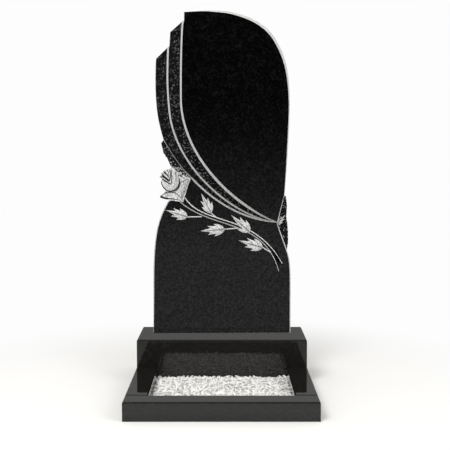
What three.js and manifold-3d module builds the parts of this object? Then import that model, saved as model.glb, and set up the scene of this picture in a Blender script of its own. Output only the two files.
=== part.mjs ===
// Upright granite memorial: a carved slab of black granite standing on a plinth block, with three
// kerbs in front of it that hold a bed of white marble chippings. Millimetres, +Z up, the front faces
// -Y, and the origin is at floor level under the middle of the whole footprint.
import * as THREE from "three";
import { mergeVertices } from "three/addons/utils/BufferGeometryUtils.js";
import Module from "manifold-3d";

// Driving dimensions of the plinth and the kerbs
const PLINTH_WIDTH = 600;
const PLINTH_DEPTH = 220;
const PLINTH_HEIGHT = 155;
const KERB_WIDTH = 72;
const KERB_HEIGHT = 60;
const KERB_REACH = 410; // from the plinth's front to the front of the front kerb
const BLOCK_CHAMFER = 4; // along the top edges of the plinth and the kerbs

// Driving dimensions of the chippings
const CHIP_SIZE = 13; // a marble chip across
const CHIP_DROP = 30; // the chippings' mean level below the tops of the kerbs
const CHIP_ROUGHNESS = 4; // how far chips stand above and below that level

// Driving dimensions of the carved slab
const STONE_WIDTH = 500;
const STONE_HEIGHT = 1160;
const STONE_THICKNESS = 80;
const STONE_SETBACK = 80; // from the plinth's front to the slab's front
const TIER_STEP = 8; // each tier lies this far behind the one in front of it
const BODY_STEP = 6; // the lower body lies this far behind the outer tier
const ROUGH_STEP = 8; // the rock-pitched waists lie this far behind the lower body
const ARRIS = 1; // the small chamfer of a plain edge
const EDGE_CHAMFER = 3.5; // the ground chamfer of the lower body and the panel's right side
const SHOULDER_CHAMFER = 10.5; // the same chamfer where it widens round the shoulder
const BEVEL = 6.5; // the ground bevel at the foot of a tier
const WIDE_BEVEL = 9; // the panel's bevel at its widest
const THIN_BEVEL = 2.5; // the outer tier's bevel beside the rough waist
const TIP_BEVEL = 4; // every bevel where the three run together

// Driving dimensions of the two waists, where the slab's edge is left rock-pitched
const PITCH_LENGTH = 11; // between neighbouring blows of the pitching tool
const PITCH_SLOPE = 8; // the width of the falling edge
const PITCH_FALL = 12; // how far that edge falls back
const PITCH_UNEVEN = 4; // how much slope and fall vary
const PITCH_RAGGED = 2; // how much the outline strays

// Driving dimensions of the carved rose, its stem and its leaves
const BUD_RADIUS = 33;
const ROSE_RELIEF = 20; // the bud's crown above the lower body
const PETAL_RELIEF = 9; // the outer petals above the lower body
const FOLD_RELIEF = 3; // each fold of the bud above the one inside it
const ROSE_RIM = 5; // the rose's edge lies this far behind the lower body
const LEAF_RELIEF = 4.5; // a leaf's midrib above the stone round it
const LEAF_EDGE = 1.2; // a leaf's edge above the stone round it
const STEM_RELIEF = 3;
const STEM_SLOPE = 3.6; // the width of each ground side of the stem
const PETIOLE_WIDTH = 4.5;
const PETIOLE_RELIEF = 2;
const KEY = 3; // carved forms start this far inside the stone that they grow from

// Clearance between pieces that touch
const JOINT = 0.3;

// How finely curves are stepped
const CURVE_STEP = 26; // millimetres along a long curve
const ROSE_SPOKES = 48;
const ROSE_RINGS = 9;

// Levels of the slab's carved front, as depths behind its foremost plane
const INNER_LEVEL = TIER_STEP;
const OUTER_LEVEL = 2 * TIER_STEP;
const BODY_LEVEL = OUTER_LEVEL + BODY_STEP;
const ROUGH_LEVEL = BODY_LEVEL + ROUGH_STEP;

const wasm = await Module();
wasm.setup();

// A closed three.js geometry becomes a solid that can be joined and cut.
function solid(geometry) {
  const bare = geometry.clone();
  bare.deleteAttribute("normal");
  bare.deleteAttribute("uv");
  const merged = mergeVertices(bare);
  const mesh = new wasm.Mesh({
    numProp: 3,
    vertProperties: new Float32Array(merged.attributes.position.array),
    triVerts: new Uint32Array(merged.index.array),
  });
  return new wasm.Manifold(mesh);
}

function geometryOf(manifold) {
  const { vertProperties, triVerts } = manifold.getMesh();
  const geometry = new THREE.BufferGeometry();
  geometry.setAttribute("position", new THREE.BufferAttribute(vertProperties, 3));
  geometry.setIndex(new THREE.BufferAttribute(triVerts, 1));
  return geometry;
}

// A closed skin over rings with the same number of points, capped at the first and the last. Seen
// against the way from the first ring to the last, the rings run counter-clockwise. "flat" gives a
// point's place in the caps' plane.
function loft(rings, flat) {
  const count = rings[0].length;
  const faces = [];
  for (let ring = 0; ring + 1 < rings.length; ring++) {
    for (let i = 0; i < count; i++) {
      const next = (i + 1) % count;
      const [a, b] = [ring * count + i, ring * count + next];
      const [c, d] = [b + count, a + count];
      faces.push(a, b, c, a, c, d);
    }
  }
  const cap = (ring) => THREE.ShapeUtils.triangulateShape(rings[ring].map(flat), []);
  const last = rings.length - 1;
  for (const [a, b, c] of cap(0)) faces.push(a, c, b);
  for (const corners of cap(last)) faces.push(...corners.map((corner) => last * count + corner));
  const geometry = new THREE.BufferGeometry().setFromPoints(rings.flat());
  geometry.setIndex(faces);
  return geometry;
}

const fromFront = (point) => new THREE.Vector2(point.x, point.z);
const fromAbove = (point) => new THREE.Vector2(point.x, point.y);

// The value at t, from 0 to 1, in a list of values at even spacing.
function along(values, t) {
  const place = t * (values.length - 1);
  const i = Math.min(Math.floor(place), values.length - 2);
  return THREE.MathUtils.lerp(values[i], values[i + 1], place - i);
}

// Places on the slab's front are shares of its width, from the left, and of its height.
const onSlab = ([u, v]) => new THREE.Vector2((u - 0.5) * STONE_WIDTH, v * STONE_HEIGHT);

// One stretch of a slab's outline: a line through two places or a cubic curve through four. "widths"
// and "depths" give the chamfer's size along the way. The end point is left to the stretch that follows.
function stretch(places, widths, depths = widths) {
  const points = places.map(onSlab);
  const straight = points.length === 2;
  const curve = straight ? new THREE.LineCurve(...points) : new THREE.CubicBezierCurve(...points);
  const steps = straight ? 1 : Math.max(3, Math.round(curve.getLength() / CURVE_STEP));
  return Array.from({ length: steps }, (_, i) => {
    const t = i / steps;
    const point = curve.getPoint(t);
    return { x: point.x, z: point.y, width: along(widths, t), depth: along(depths, t) };
  });
}

// Straight stretches through a list of places.
const straights = (places, width) =>
  places.slice(1).flatMap((place, i) => stretch([places[i], place], [width, width]));

// The outline moved inwards at each point by its own width.
function inset(outline) {
  return outline.map((point, i) => {
    const before = outline.at(i - 1);
    const after = outline[(i + 1) % outline.length];
    const arriving = new THREE.Vector2(before.z - point.z, point.x - before.x).normalize();
    const leaving = new THREE.Vector2(point.z - after.z, after.x - point.x).normalize();
    const inwards = arriving.clone().add(leaving).normalize();
    inwards.multiplyScalar(point.width / inwards.dot(arriving));
    return { x: point.x + inwards.x, z: point.z + inwards.y };
  });
}

// A tier of the slab, from its back to a level of its front, with the outline's chamfers round that front.
function tier(outline, level) {
  const back = outline.map((p) => new THREE.Vector3(p.x, STONE_THICKNESS, p.z));
  const shoulder = outline.map((p) => new THREE.Vector3(p.x, level + p.depth, p.z));
  const front = inset(outline).map((p) => new THREE.Vector3(p.x, level, p.z));
  return solid(loft([back, shoulder, front], fromFront));
}

// The place where the three bevels run together, and the hidden way back from it inside the panel
const TIP = [0.9012, 0.3492];
const UNDER_PANEL = [TIP, [0.881, 0.4279], [0.5011, 0.7552]];

function panel() {
  const corner = [0.2316, 0.995];
  const ledge = [0.2315, 0.9709];
  const foot = [0.2179, 0.9664];
  const turn = [0.2012, 0.7367];
  const top = [0.4585, 1];
  const brow = [0.8849, 0.9125];
  const side = [0.983, 0.7174];
  const hip = [0.9487, 0.4396];
  const step = [TIER_STEP, TIER_STEP];
  const middling = (BEVEL + WIDE_BEVEL) / 2;
  const sweep = [BEVEL, middling, WIDE_BEVEL, WIDE_BEVEL, TIP_BEVEL];
  const sideWidths = [EDGE_CHAMFER, BEVEL, WIDE_BEVEL, SHOULDER_CHAMFER];
  const browWidths = [SHOULDER_CHAMFER, SHOULDER_CHAMFER, SHOULDER_CHAMFER, BEVEL];
  return tier(
    [
      ...stretch([corner, ledge], [ARRIS, ARRIS]),
      ...stretch([ledge, foot], [ARRIS, BEVEL]),
      ...stretch([foot, [0.2061, 0.954], [0.199, 0.8059], turn], [BEVEL, BEVEL], step),
      ...stretch([turn, [0.1941, 0.5587], [0.5782, 0.3958], TIP], sweep, step),
      ...stretch([TIP, hip], [EDGE_CHAMFER, EDGE_CHAMFER]),
      ...stretch([hip, [0.9632, 0.5085], [0.9837, 0.6532], side], [ARRIS, EDGE_CHAMFER, EDGE_CHAMFER]),
      ...stretch([side, [0.9818, 0.815], [0.9542, 0.862], brow], sideWidths),
      ...stretch([brow, [0.8125, 0.9653], [0.6457, 1], top], browWidths),
      ...stretch([top, [0.3834, 1], [0.3146, 0.9969], corner], [BEVEL, THIN_BEVEL, ARRIS, ARRIS]),
    ],
    0,
  );
}

function innerTier() {
  const start = [0.2646, 0.985];
  const corner = [0.1317, 0.9353];
  const ledge = [0.1257, 0.8934];
  const foot = [0.11, 0.8883];
  const turn = [0.1159, 0.7023];
  const step = [TIER_STEP, TIER_STEP];
  return tier(
    [
      ...straights([start, corner, ledge], ARRIS),
      ...stretch([ledge, foot], [ARRIS, BEVEL]),
      ...stretch([foot, [0.1052, 0.8229], [0.099, 0.7798], turn], [BEVEL, BEVEL], step),
      ...stretch([turn, [0.1457, 0.5202], [0.586, 0.3614], TIP], [BEVEL, BEVEL, BEVEL, TIP_BEVEL], step),
      ...straights([...UNDER_PANEL, start], ARRIS),
    ],
    INNER_LEVEL,
  );
}

function outerTier() {
  const start = [0.1644, 0.912];
  const corner = [0.0286, 0.8551];
  const waist = [0.0807, 0.6054];
  const besideWaist = { share: 3, widths: THIN_BEVEL, depths: BODY_STEP + ROUGH_STEP };
  const besideBody = { share: 7, widths: BEVEL, depths: BODY_STEP };
  const foot = (size) => [besideWaist, besideBody].flatMap((side) => Array(side.share).fill(side[size]));
  return tier(
    [
      ...straights([start, corner], ARRIS),
      ...stretch([corner, [0.0098, 0.6977], [0.0524, 0.6508], waist], [ARRIS, ARRIS]),
      ...stretch(
        [waist, [0.2792, 0.4474], [0.5987, 0.3548], TIP],
        [...foot("widths"), TIP_BEVEL],
        [...foot("depths"), BODY_STEP],
      ),
      ...straights([...UNDER_PANEL, start], ARRIS),
    ],
    OUTER_LEVEL,
  );
}

function lowerBody() {
  const underRose = [0.1093, 0.4153];
  const [left, right] = [[0, 0.1378], [1, 0.1399]];
  const underTiers = [
    [0.8828, 0.4273], [0.501, 0.6074], [0.3004, 0.5275], [0.2399, 0.4825], [0.1994, 0.4373],
  ];
  return tier(
    [
      ...stretch([underRose, [0.0167, 0.3507], [0, 0.2881], left], [EDGE_CHAMFER, EDGE_CHAMFER]),
      ...straights([left, [0, 0]], EDGE_CHAMFER),
      ...straights([[0, 0], [1, 0]], ARRIS),
      ...straights([[1, 0], right], EDGE_CHAMFER),
      ...stretch([right, [0.9978, 0.2601], [0.9935, 0.2304], TIP], [EDGE_CHAMFER, EDGE_CHAMFER]),
      ...straights([TIP, ...underTiers, underRose], ARRIS),
    ],
    BODY_LEVEL,
  );
}

// A waist where the slab's edge is left rock-pitched. Its front falls away unevenly towards the edge
// that shows; the hidden places lie inside the tiers and the rose.
function roughWaist({ shown, hidden, seed }) {
  THREE.MathUtils.seededRandom(seed);
  const jitter = (size) => (THREE.MathUtils.seededRandom() - 0.5) * size;
  const outline = shown.slice(1).flatMap((place, i) => {
    const [from, to] = [onSlab(shown[i]), onSlab(place)];
    const blows = Math.max(1, Math.round(from.distanceTo(to) / PITCH_LENGTH));
    return Array.from({ length: blows }, (_, blow) => {
      const point = from.clone().lerp(to, blow / blows);
      const width = PITCH_SLOPE + jitter(PITCH_UNEVEN);
      return { x: point.x + jitter(PITCH_RAGGED), z: point.y + jitter(PITCH_RAGGED), width };
    });
  });
  outline.push(...straights([shown.at(-1), ...hidden, shown[0]], ARRIS));
  const ring = (points, depth) =>
    points.map((p) => new THREE.Vector3(p.x, depth + jitter(PITCH_UNEVEN), p.z));
  const back = outline.map((p) => new THREE.Vector3(p.x, STONE_THICKNESS, p.z));
  const edge = ring(outline, ROUGH_LEVEL + PITCH_FALL);
  return solid(loft([back, edge, ring(inset(outline), ROUGH_LEVEL)], fromFront));
}

const LEFT_WAIST = {
  shown: [
    [0.0785, 0.6065], [0.0595, 0.5992], [0.0755, 0.5667], [0.1025, 0.5504], [0.128, 0.525], [0.1429, 0.5177],
  ],
  hidden: [[0.1788, 0.4901], [0.2492, 0.4866], [0.2997, 0.5117], [0.1197, 0.6109]],
  seed: 3,
};
const RIGHT_WAIST = {
  shown: [
    [0.9743, 0.261], [0.9826, 0.29], [0.9793, 0.3338], [0.9689, 0.3665], [0.9735, 0.399],
    [0.9655, 0.4295], [0.9535, 0.4343],
  ],
  hidden: [[0.9242, 0.4209], [0.8845, 0.3511], [0.9306, 0.2893]],
  seed: 5,
};

// The rose, in units of the bud's radius from the bud's centre. Its outline is drawn from the tip of
// the bud down its left side, round the drooping lower petal and up the broad right petal.
const ROSE_PLACE = [0.1268, 0.4758];
const ROSE_OUTLINE = [
  [0.32, 1.55], [-0.22, 1.43], [-0.77, 1.14], [-1.14, 0.64], [-0.98, 0.3], [-0.98, -0.16], [-0.77, -0.61],
  [-0.5, -0.93], [-0.76, -1.25], [-1.12, -1.57], [-1.02, -1.72], [-0.31, -1.92], [1.19, -2.15], [1.44, -2.15],
  [1.6, -1.6], [1.98, -0.32], [2.23, 0.47], [1.36, 0.76], [0.82, 1],
];
const ROSE_MIDDLE = [0.4, -0.2];
const FOLD_LINES = [-0.36, 0, 0.3];

const step01 = (x, from, to) => THREE.MathUtils.smoothstep(x, from, to);

// The folds of the bud are nested V shapes that open upwards to the left. This is how far a place is
// outside the middle one.
function fold(a, b) {
  const [left, right] = [-0.76 * (a - 0.02) - 0.65 * (b - 0.26), a - 0.02 + 0.04 * (b - 0.26)];
  return Math.max(left, right);
}

// How far the rose's front stands out from the lower body at a place in it.
function roseHeight(a, b) {
  const fromBud = Math.hypot(a, b);
  const crown = ROSE_RELIEF - FOLD_LINES.length * FOLD_RELIEF;
  const bud = crown * Math.sqrt(Math.max(0, 1 - 0.8 * fromBud * fromBud));
  const inFolds = FOLD_LINES.reduce((sum, line) => sum + step01(fold(a, b), line - 0.05, line + 0.05), 0);
  const folds = FOLD_RELIEF * inFolds;
  const rightPetal = PETAL_RELIEF * (0.45 + 0.55 * step01(fromBud, 1, 2.1));
  const lip = step01(-1.05 - b - 0.3 * a, -0.25, 0.35);
  const petals = Math.max(rightPetal, PETAL_RELIEF * 1.35 * lip);
  return THREE.MathUtils.lerp(petals, bud + folds, 1 - step01(fromBud, 0.97, 1.08));
}

function rose() {
  const place = onSlab(ROSE_PLACE);
  const outline = ROSE_OUTLINE.map(([a, b]) => new THREE.Vector3(a, b, 0));
  const edge = new THREE.CatmullRomCurve3(outline, true).getSpacedPoints(ROSE_SPOKES).slice(1);
  const middle = new THREE.Vector3(...ROSE_MIDDLE, 0);
  const ring = (share, depthAt) =>
    edge.map((point) => {
      const p = middle.clone().lerp(point, share);
      const [x, z] = [place.x + p.x * BUD_RADIUS, place.y + p.y * BUD_RADIUS];
      return new THREE.Vector3(x, depthAt(p.x, p.y), z);
    });
  const front = (a, b) => BODY_LEVEL - roseHeight(a, b);
  const rings = [ring(1, () => STONE_THICKNESS), ring(1, () => BODY_LEVEL + ROSE_RIM)];
  for (let i = 0; i < ROSE_RINGS; i++) rings.push(ring(0.96 - (0.9 * i) / (ROSE_RINGS - 1), front));
  return solid(loft(rings, fromFront));
}

// One side of a leaf, from its base to its tip: the share of its length, the distance from the midrib
// in the same unit, the share of the midrib that the side vein grows from, and how high the vein is.
const LEAF_SIDE = [
  [0.1, 0.13, 0.05, 0.6], [0.24, 0.21, 0.1, 0.8], [0.44, 0.25, 0.18, 1], [0.37, 0.15, 0.27, 0.3],
  [0.7, 0.18, 0.42, 1], [0.58, 0.085, 0.6, 0.3],
];

// A leaf from its base to its tip, standing out of a level of the slab.
function leaf(basePlace, tipPlace, level) {
  const ribWidth = 0.012;
  const base = onSlab(basePlace);
  const axis = onSlab(tipPlace).sub(base);
  const across = new THREE.Vector2(-axis.y, axis.x);
  const point = (s, a, height) => {
    const p = base.clone().addScaledVector(axis, s).addScaledVector(across, a);
    return new THREE.Vector3(p.x, level - height, p.y);
  };
  const right = LEAF_SIDE.map(([s, a, rib, vein]) => ({ s, a: -a, rib, vein, side: -ribWidth }));
  const left = LEAF_SIDE.map(([s, a, rib, vein]) => ({ s, a, rib, vein, side: ribWidth })).reverse();
  const foot = { s: 0, a: 0, rib: 0, vein: 0.5, side: 0 };
  const apex = { s: 1, a: 0, rib: 0.8, vein: 1, side: 0 };
  const edge = [foot, ...right, apex, ...left];
  const halfway = (q) => point((q.s + q.rib) / 2, (q.a + q.side) / 2, LEAF_EDGE + (q.vein * LEAF_RELIEF) / 2);
  return solid(
    loft(
      [
        edge.map((q) => point(q.s, q.a, -KEY)),
        edge.map((q) => point(q.s, q.a, LEAF_EDGE)),
        edge.map(halfway),
        edge.map((q) => point(q.rib, q.side, LEAF_RELIEF)),
      ],
      fromFront,
    ),
  );
}

// A raised strip with ground sides, on the lower body. Its outline carries the width of those sides.
function strip(outline, relief) {
  const foot = outline.map((p) => new THREE.Vector3(p.x, BODY_LEVEL + KEY, p.z));
  const side = outline.map((p) => new THREE.Vector3(p.x, BODY_LEVEL + 0.1 * relief, p.z));
  const level = (i) => BODY_LEVEL - relief * outline[i].depth;
  const top = inset(outline).map((p, i) => new THREE.Vector3(p.x, level(i), p.z));
  return solid(loft([foot, side, top], fromFront));
}

// The stem grows from under the rose, and dies out towards the slab's right edge. Here "depth" is the
// share of its height.
function stem() {
  const slopes = [STEM_SLOPE, STEM_SLOPE, STEM_SLOPE, STEM_SLOPE, STEM_SLOPE * 0.6];
  const rise = [1, 1, 1, 1, 0.2];
  const start = [0.1997, 0.4374];
  const lower = [[0.1956, 0.4134], [0.4276, 0.3245], [0.8092, 0.3631], [0.9114, 0.1937]];
  const upper = [[0.94, 0.2213], [0.7306, 0.3885], [0.3593, 0.3384], [0.2343, 0.4302]];
  return strip(
    [
      ...stretch([start, lower[0]], [STEM_SLOPE, STEM_SLOPE], [1, 1]),
      ...stretch(lower, slopes, rise),
      ...stretch([lower.at(-1), upper[0]], [slopes.at(-1), slopes.at(-1)], [rise.at(-1), rise.at(-1)]),
      ...stretch(upper, slopes.toReversed(), rise.toReversed()),
      ...stretch([upper.at(-1), start], [STEM_SLOPE, STEM_SLOPE], [1, 1]),
    ],
    STEM_RELIEF,
  );
}

// A leaf's stalk, from inside the leaf to inside the stem.
function petiole(fromPlace, toPlace) {
  const [from, to] = [onSlab(fromPlace), onSlab(toPlace)];
  const along = to.clone().sub(from).setLength(PETIOLE_WIDTH / 2);
  const across = new THREE.Vector2(-along.y, along.x);
  const corner = (end, side, forward) => {
    const p = end.clone().addScaledVector(across, side).addScaledVector(along, forward);
    return { x: p.x, z: p.y, width: PETIOLE_WIDTH / 3, depth: 1 };
  };
  const corners = [corner(from, 1, -1), corner(from, -1, -1), corner(to, -1, 1), corner(to, 1, 1)];
  return strip(corners, PETIOLE_RELIEF);
}

// Each leaf's base and tip, and where its stalk meets the stem if it has one
const LEAVES = [
  { base: [0.2536, 0.3674], tip: [0.091, 0.3891], stalk: [0.3501, 0.3683] },
  { base: [0.4225, 0.3788], tip: [0.3484, 0.442], stalk: [0.4757, 0.36] },
  { base: [0.7041, 0.3196], tip: [0.5652, 0.3735] },
  { base: [0.523, 0.3292], tip: [0.3418, 0.3235], stalk: [0.6135, 0.3323] },
  { base: [0.7991, 0.2713], tip: [0.6187, 0.294], stalk: [0.8456, 0.258] },
];
const WAIST_LEAF = { base: [0.8957, 0.3446], tip: [0.9608, 0.3749] };

function uprightStone() {
  const forms = [
    panel(),
    innerTier(),
    outerTier(),
    lowerBody(),
    roughWaist(LEFT_WAIST),
    roughWaist(RIGHT_WAIST),
    rose(),
    stem(),
    ...LEAVES.map(({ base, tip }) => leaf(base, tip, BODY_LEVEL)),
    ...LEAVES.filter(({ stalk }) => stalk).map(({ base, stalk }) => petiole(base, stalk)),
    leaf(WAIST_LEAF.base, WAIST_LEAF.tip, ROUGH_LEVEL - LEAF_RELIEF),
  ];
  return geometryOf(forms.reduce((whole, form) => whole.add(form)).asOriginal());
}

// A sawn block standing on the floor between two corners, with a chamfer along its top edges.
function block([x0, y0], [x1, y1], height) {
  const ring = (in_, z) => [
    new THREE.Vector3(x0 + in_, y0 + in_, z),
    new THREE.Vector3(x1 - in_, y0 + in_, z),
    new THREE.Vector3(x1 - in_, y1 - in_, z),
    new THREE.Vector3(x0 + in_, y1 - in_, z),
  ];
  return loft([ring(0, 0), ring(0, height - BLOCK_CHAMFER), ring(BLOCK_CHAMFER, height)], fromAbove);
}

// The footprint, from the front kerb's front to the plinth's back
const SIDE = PLINTH_WIDTH / 2;
const FRONT = -(KERB_REACH + PLINTH_DEPTH) / 2;
const PLINTH_FRONT = FRONT + KERB_REACH;
const BED_FRONT = FRONT + KERB_WIDTH;
const BED_SIDE = SIDE - KERB_WIDTH;

// The bed of chippings: flat below, and uneven on top at the scale of the chips.
function chippings() {
  const width = 2 * (BED_SIDE - JOINT);
  const depth = PLINTH_FRONT - BED_FRONT - 2 * JOINT;
  const level = KERB_HEIGHT - CHIP_DROP;
  const across = Math.round(width / CHIP_SIZE);
  const back = Math.round(depth / CHIP_SIZE);
  const bed = new THREE.BoxGeometry(width, depth, level, across, back, 1);
  bed.translate(0, (PLINTH_FRONT + BED_FRONT) / 2, level / 2);
  bed.deleteAttribute("normal");
  bed.deleteAttribute("uv");
  const merged = mergeVertices(bed);
  const points = merged.attributes.position;
  THREE.MathUtils.seededRandom(11);
  for (let i = 0; i < points.count; i++) {
    const lift = (THREE.MathUtils.seededRandom() - 0.5) * 2 * CHIP_ROUGHNESS;
    if (points.getZ(i) > level / 2) points.setZ(i, level + lift);
  }
  return geometryOf(solid(merged).asOriginal());
}

const GRANITE = { color: 0x1b1b1d, roughness: 0.12, metalness: 0 };
const MARBLE = { color: 0xe6e3dc, roughness: 0.75, metalness: 0 };

const memorial = new THREE.Group();

function place(name, geometry, finish, [x, y, z] = [0, 0, 0]) {
  const mesh = new THREE.Mesh(geometry, new THREE.MeshStandardMaterial(finish));
  mesh.name = name;
  mesh.position.set(x, y, z);
  mesh.geometry.computeVertexNormals();
  memorial.add(mesh);
}

place("plinth", block([-SIDE, PLINTH_FRONT], [SIDE, PLINTH_FRONT + PLINTH_DEPTH], PLINTH_HEIGHT), GRANITE);
place("upright_stone", uprightStone(), GRANITE, [0, PLINTH_FRONT + STONE_SETBACK, PLINTH_HEIGHT + JOINT]);
place("kerb_front", block([-SIDE, FRONT], [SIDE, BED_FRONT], KERB_HEIGHT), GRANITE);
for (const [name, x] of [["kerb_left", -SIDE], ["kerb_right", BED_SIDE]]) {
  const corners = [[x, BED_FRONT + JOINT], [x + KERB_WIDTH, PLINTH_FRONT - JOINT]];
  place(name, block(...corners, KERB_HEIGHT), GRANITE);
}
place("chippings", chippings(), MARBLE);

export default memorial;
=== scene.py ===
# %% [markdown]
# # An upright granite memorial
# The object is a carved slab of black granite on a plinth block. Three kerbs in front of it hold a bed of
# white marble chippings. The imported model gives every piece's true size and place. This lesson gives the
# stones their finishes: polished, bush-hammered, ground, carved and rock-pitched.

# %% Load the frame
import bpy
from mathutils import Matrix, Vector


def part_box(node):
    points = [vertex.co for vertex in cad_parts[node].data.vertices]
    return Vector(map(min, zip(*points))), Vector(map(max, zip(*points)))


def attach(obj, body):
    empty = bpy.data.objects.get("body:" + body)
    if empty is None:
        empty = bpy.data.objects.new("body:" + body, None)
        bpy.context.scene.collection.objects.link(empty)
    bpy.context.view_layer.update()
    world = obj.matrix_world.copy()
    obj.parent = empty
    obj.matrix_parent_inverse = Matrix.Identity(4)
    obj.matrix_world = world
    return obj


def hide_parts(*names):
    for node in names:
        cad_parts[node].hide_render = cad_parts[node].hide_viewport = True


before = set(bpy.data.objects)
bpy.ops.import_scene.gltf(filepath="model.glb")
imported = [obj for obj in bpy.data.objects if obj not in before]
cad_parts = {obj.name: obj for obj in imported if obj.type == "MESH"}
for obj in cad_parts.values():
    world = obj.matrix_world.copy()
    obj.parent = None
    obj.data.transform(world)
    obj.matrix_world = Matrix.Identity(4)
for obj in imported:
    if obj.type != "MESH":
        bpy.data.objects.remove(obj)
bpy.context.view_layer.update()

# %% Tools for the whole lesson
import math
import random

import bmesh
import bpy
import numpy as np
from mathutils import Matrix, Vector, geometry, noise

MM = 0.001


def alone():
    """An operator acts on all that is selected, so nothing is selected before a piece is begun."""
    if bpy.context.mode != "OBJECT":
        bpy.ops.object.mode_set(mode="OBJECT")
    bpy.ops.object.select_all(action="DESELECT")


def pick(piece):
    alone()
    piece.select_set(True)
    bpy.context.view_layer.objects.active = piece


def smoothstep(low, high, value):
    share = min(max((value - low) / (high - low), 0), 1)
    return share * share * (3 - 2 * share)


# %% [markdown]
# ## The camera
# The lines of the kerbs run back to one point, which gives the camera's height and its distance. A camera
# below eye height looks slightly down, and a small lens shift brings the memorial's foot into the frame.

# %% The camera
LENS_MM = 63.28
CAMERA_PLACE = (0.0109, -2.6554, 0.7943)
CAMERA_PITCH = 3.6
bpy.ops.object.camera_add(location=CAMERA_PLACE, rotation=(math.radians(90 - CAMERA_PITCH), 0, 0))
camera = bpy.context.object
camera.data.lens = LENS_MM
camera.data.sensor_width = 36
camera.data.shift_y = -0.0383
bpy.context.scene.camera = camera
print("camera at", CAMERA_PLACE, "with a lens of", LENS_MM, "mm")

# %% [markdown]
# ## Making materials
# Each finish is a short graph of nodes. One function turns a hex colour, as a colour picker shows it, into
# the linear values that Blender's shaders use. Another adds a node with its settings and its links, so a
# graph reads from top to bottom. Every pattern reads Object coordinates, which are metres in this frame, so
# a grain of a millimetre has a noise scale worked out from that millimetre.

# %% Colour and node helpers
def linear(hex_colour):
    values = [int(hex_colour[i:i + 2], 16) / 255 for i in (1, 3, 5)]
    return tuple(v / 12.92 if v <= 0.04045 else ((v + 0.055) / 1.055) ** 2.4 for v in values) + (1,)


def add(tree, kind, links=None, **settings):
    """A node of one kind. Links name its inputs by socket or by value, and settings name its properties."""
    node = tree.nodes.new(kind)
    for name, value in settings.items():
        setattr(node, name, value)
    for name, value in (links or {}).items():
        socket = node.inputs[name]
        if isinstance(value, bpy.types.NodeSocket):
            tree.links.new(value, socket)
        else:
            socket.default_value = value
    return node


def per_metre(size_mm):
    """The texture scale that makes one feature about this many millimetres across."""
    return 1 / (size_mm * MM)


def new_material(name):
    material = bpy.data.materials.new(name)
    material.use_nodes = True
    material.node_tree.nodes.clear()
    tree = material.node_tree
    shader = add(tree, "ShaderNodeBsdfPrincipled")
    add(tree, "ShaderNodeOutputMaterial", {"Surface": shader.outputs["BSDF"]})
    place = add(tree, "ShaderNodeTexCoord").outputs["Object"]
    return material, tree, shader, place


def ramp(tree, source, stops):
    node = add(tree, "ShaderNodeValToRGB", {"Fac": source})
    elements = node.color_ramp.elements
    while len(elements) < len(stops):
        elements.new(0.5)
    for element, (position, colour) in zip(elements, stops):
        element.position = position
        element.color = linear(colour)
    return node.outputs["Color"]


# %% [markdown]
# ## Polished black granite
# The stone is a fine-grained black gabbro, sold as black granite, polished to a mirror. The eye sees almost
# no colour of its own, and reflections that grow strong at a flat angle. A Principled shader with an IOR of
# 1.55 and low roughness gives those by itself, so nodes are needed only for the grain: feldspar flecks of a
# few millimetres, which mirror a little more than the dark crystals between them. The sawn blocks are a shade
# lighter than the slab and more even.

# %% Polished granite
GRAIN_MM = 7.5
CROWD_MM = 28       # from one crowd of flecks to the next
POLISH_IOR = 1.55


def polished_granite(name, dark, middle, fleck, glints):
    """Glints is how far the mirroring of single grains strays from the mean."""
    material, tree, shader, place = new_material(name)
    grain = add(tree, "ShaderNodeTexNoise", {"Vector": place, "Scale": per_metre(GRAIN_MM), "Detail": 3,
                                             "Roughness": 0.65})
    crowd = add(tree, "ShaderNodeTexNoise", {"Vector": place, "Scale": per_metre(CROWD_MM), "Detail": 2})
    crowded = add(tree, "ShaderNodeMath", {0: crowd.outputs["Fac"], 1: 0.25}, operation="MULTIPLY")
    amount = add(tree, "ShaderNodeMath", {0: grain.outputs["Fac"], 1: crowded.outputs["Value"]},
                 operation="ADD")
    colour = ramp(tree, amount.outputs["Value"], [(0.52, dark), (0.66, middle), (0.8, fleck)])
    tree.links.new(colour, shader.inputs["Base Color"])
    shine = add(tree, "ShaderNodeMapRange", {"Value": grain.outputs["Fac"], "From Min": 0.35,
                                             "From Max": 0.65, "To Min": 0.5 - glints,
                                             "To Max": 0.5 + glints})
    tree.links.new(shine.outputs["Result"], shader.inputs["Specular IOR Level"])
    haze = add(tree, "ShaderNodeMapRange", {"Value": crowd.outputs["Fac"], "To Min": 0.015,
                                            "To Max": 0.045})
    tree.links.new(haze.outputs["Result"], shader.inputs["Roughness"])
    shader.inputs["IOR"].default_value = POLISH_IOR
    return material
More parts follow.
